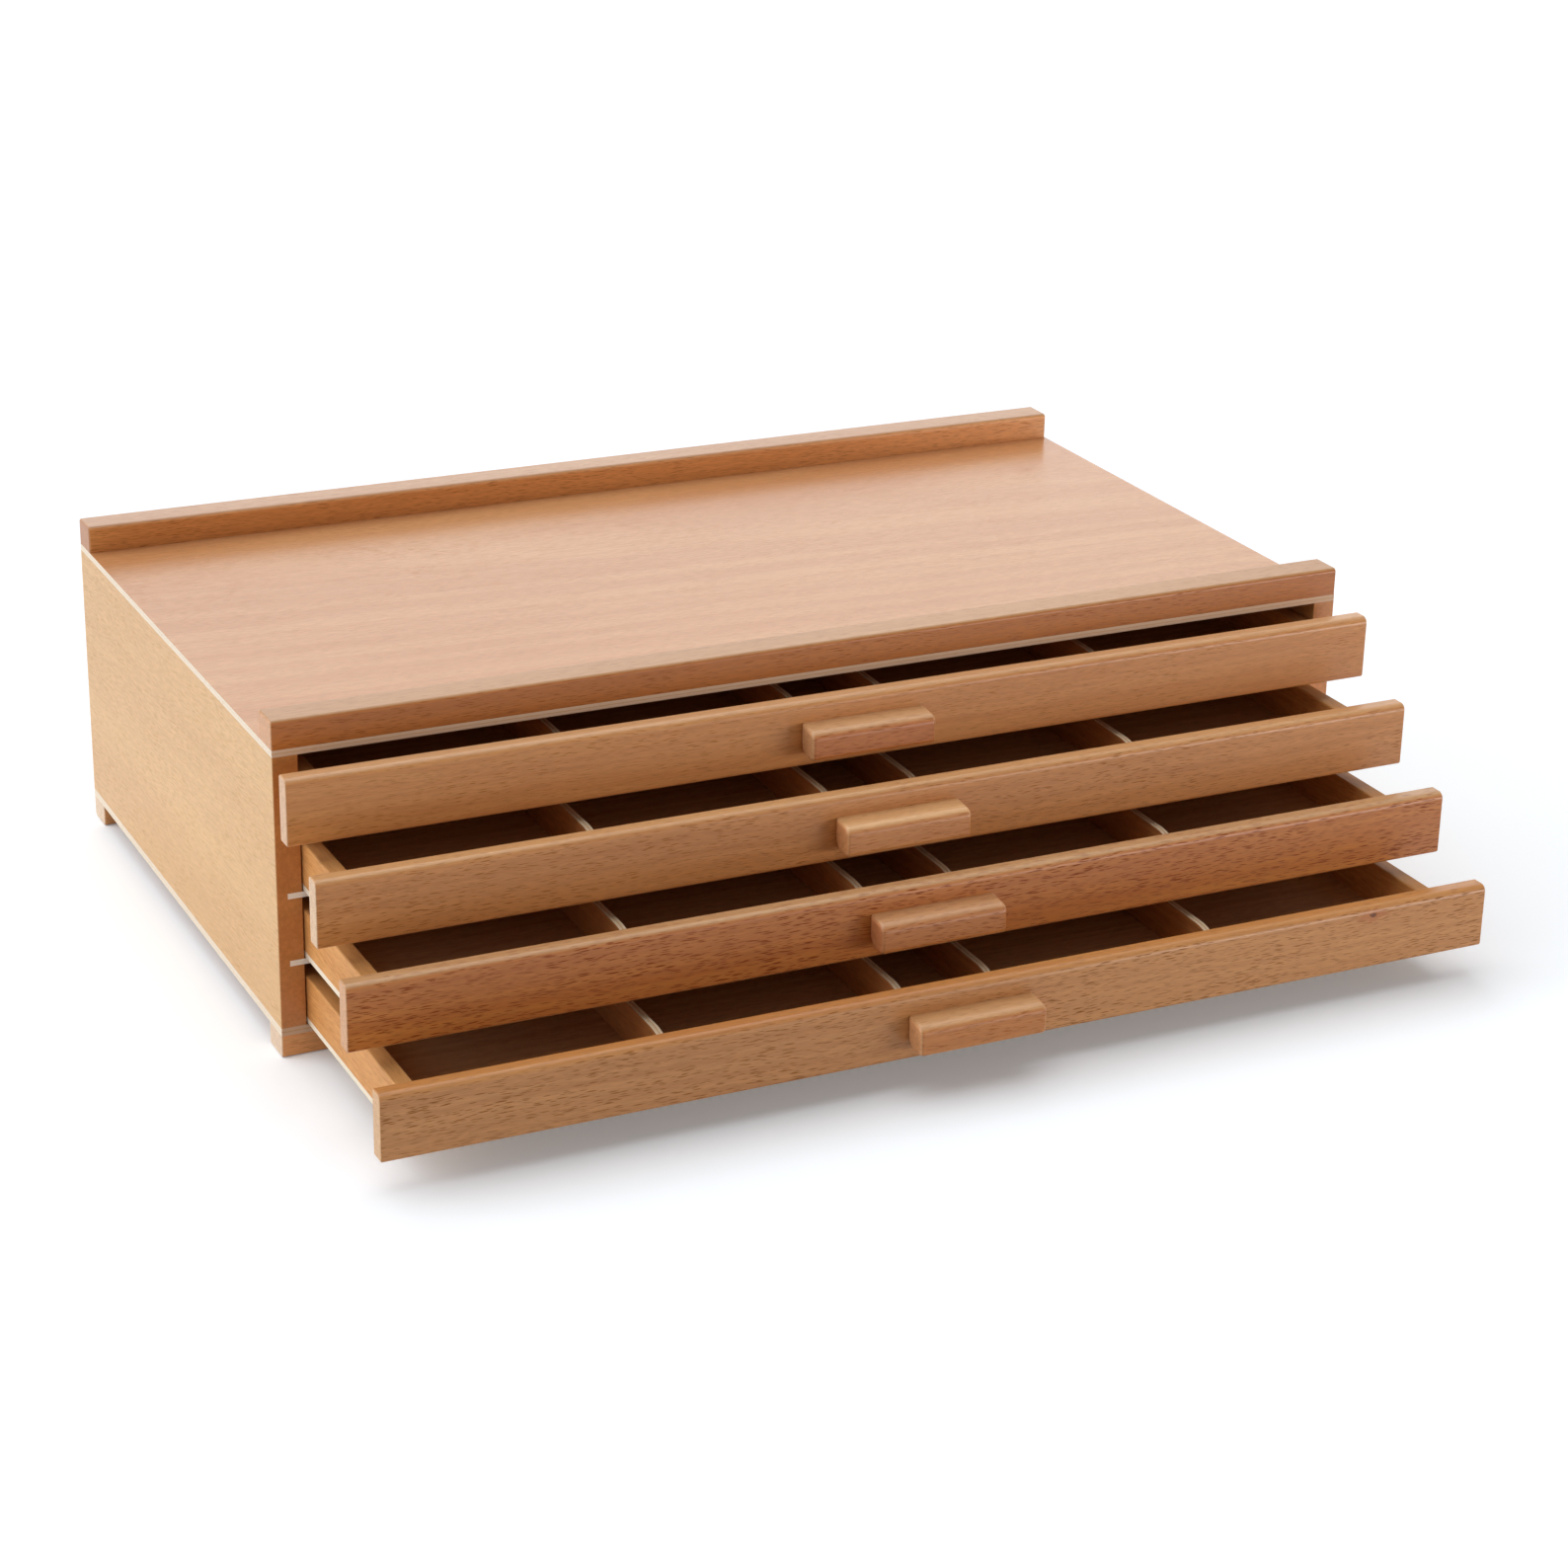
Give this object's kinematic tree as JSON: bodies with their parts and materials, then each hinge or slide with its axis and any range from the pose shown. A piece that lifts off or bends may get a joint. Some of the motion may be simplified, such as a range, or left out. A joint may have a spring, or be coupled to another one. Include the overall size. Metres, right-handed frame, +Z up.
{
  "type": "pencil drawer box",
  "caption": "Low wooden box with rails along the top and foot, holding a stack of shallow full-width drawers with block handles, each parted lengthwise for pencils; shown stepped open",
  "frame": {"origin": "On the surface that the foot rails stand on, under the middle of the bounding box of the whole object with its drawers out as they are stored.", "axes": "+X to the right along the drawer fronts, +Y to the rear (the drawers face -Y and open along -Y), +Z up."},
  "size_m": [0.4036, 0.337, 0.118],
  "materials": {
    "beech_solid": "solid beech, sanded, thin clear satin lacquer",
    "beech_veneer_ply": "beech-faced plywood with open layered edges, thin clear satin lacquer",
    "pale_ply": "thin pale plywood, bare"
  },
  "bodies": {
    "cabinet": {"left_side_panel": "beech_solid", "right_side_panel": "beech_solid", "top_panel": "beech_veneer_ply", "bottom_panel": "beech_veneer_ply", "back_panel": "beech_veneer_ply", "top_rail_front": "beech_solid", "top_rail_rear": "beech_solid", "foot_rail_front": "beech_solid", "foot_rail_rear": "beech_solid", "runner_left_1": "pale_ply", "runner_left_2": "pale_ply", "runner_left_3": "pale_ply", "runner_right_1": "pale_ply", "runner_right_2": "pale_ply", "runner_right_3": "pale_ply"},
    "drawer_1": {"drawer_1_front": "beech_solid", "drawer_1_handle": "beech_solid", "drawer_1_side_left": "beech_solid", "drawer_1_side_right": "beech_solid", "drawer_1_back": "beech_solid", "drawer_1_bottom": "pale_ply", "drawer_1_divider_1": "pale_ply", "drawer_1_divider_2": "pale_ply", "drawer_1_divider_3": "pale_ply", "drawer_1_divider_4": "pale_ply"},
    "drawer_2": {"drawer_2_front": "beech_solid", "drawer_2_handle": "beech_solid", "drawer_2_side_left": "beech_solid", "drawer_2_side_right": "beech_solid", "drawer_2_back": "beech_solid", "drawer_2_bottom": "pale_ply", "drawer_2_divider_1": "pale_ply", "drawer_2_divider_2": "pale_ply", "drawer_2_divider_3": "pale_ply", "drawer_2_divider_4": "pale_ply"},
    "drawer_3": {"drawer_3_front": "beech_solid", "drawer_3_handle": "beech_solid", "drawer_3_side_left": "beech_solid", "drawer_3_side_right": "beech_solid", "drawer_3_back": "beech_solid", "drawer_3_bottom": "pale_ply", "drawer_3_divider_1": "pale_ply", "drawer_3_divider_2": "pale_ply", "drawer_3_divider_3": "pale_ply", "drawer_3_divider_4": "pale_ply"},
    "drawer_4": {"drawer_4_front": "beech_solid", "drawer_4_handle": "beech_solid", "drawer_4_side_left": "beech_solid", "drawer_4_side_right": "beech_solid", "drawer_4_back": "beech_solid", "drawer_4_bottom": "pale_ply", "drawer_4_divider_1": "pale_ply", "drawer_4_divider_2": "pale_ply", "drawer_4_divider_3": "pale_ply", "drawer_4_divider_4": "pale_ply"}
  },
  "joints": [
    {"name": "drawer_1_slide", "type": "slide", "parent": "cabinet", "child": "drawer_1", "axis": [0, -1, 0], "range_m": [-0.0118, 0.1682]},
    {"name": "drawer_2_slide", "type": "slide", "parent": "cabinet", "child": "drawer_2", "axis": [0, -1, 0], "range_m": [-0.0389, 0.1411]},
    {"name": "drawer_3_slide", "type": "slide", "parent": "cabinet", "child": "drawer_3", "axis": [0, -1, 0], "range_m": [-0.0655, 0.1145]},
    {"name": "drawer_4_slide", "type": "slide", "parent": "cabinet", "child": "drawer_4", "axis": [0, -1, 0], "range_m": [-0.0943, 0.0857]}
  ]
}
